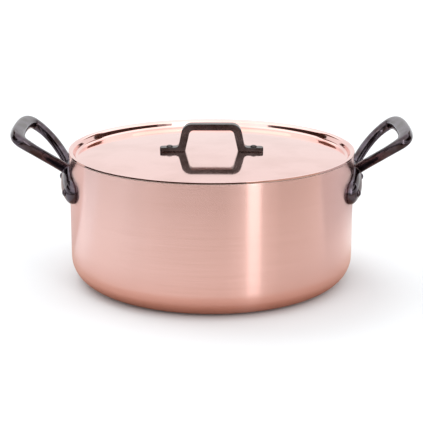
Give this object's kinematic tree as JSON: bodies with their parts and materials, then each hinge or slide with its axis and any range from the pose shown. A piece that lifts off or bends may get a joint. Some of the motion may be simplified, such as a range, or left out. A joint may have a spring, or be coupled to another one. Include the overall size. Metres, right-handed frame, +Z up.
{
  "type": "stewpan with lid",
  "caption": "Low wide copper stewpan with a stainless lining, riveted cast-iron loop handles at the sides, and a stepped lid that drops into the rim and lifts by a cast-iron bridge handle.",
  "frame": {"origin": "centre of the flat bottom, on the surface that the pan stands on", "axes": "+Z up; the side handles point along +X and -X, and the lid handle runs along X"},
  "size_m": [0.3954, 0.285, 0.1587],
  "materials": {
    "copper": null,
    "stainless": "satin stainless steel",
    "cast_iron": "dark smooth casting with a satin gloss",
    "rivet": "set steel, dark outside and bright inside"
  },
  "bodies": {
    "pot": {"pot_shell": "copper", "pot_lining": "stainless", "right_handle": "cast_iron", "right_handle_rivet_front": "rivet", "right_handle_rivet_centre": "rivet", "right_handle_rivet_rear": "rivet", "left_handle": "cast_iron", "left_handle_rivet_front": "rivet", "left_handle_rivet_centre": "rivet", "left_handle_rivet_rear": "rivet"},
    "lid": {"lid_shell": "copper", "lid_lining": "stainless", "lid_handle": "cast_iron", "lid_rivet_left": "rivet", "lid_rivet_right": "rivet"}
  },
  "joints": [
    {"name": "lid_lift", "type": "slide", "parent": "pot", "child": "lid", "axis": [0, 0, 1], "range_m": [0, 0.2]}
  ]
}
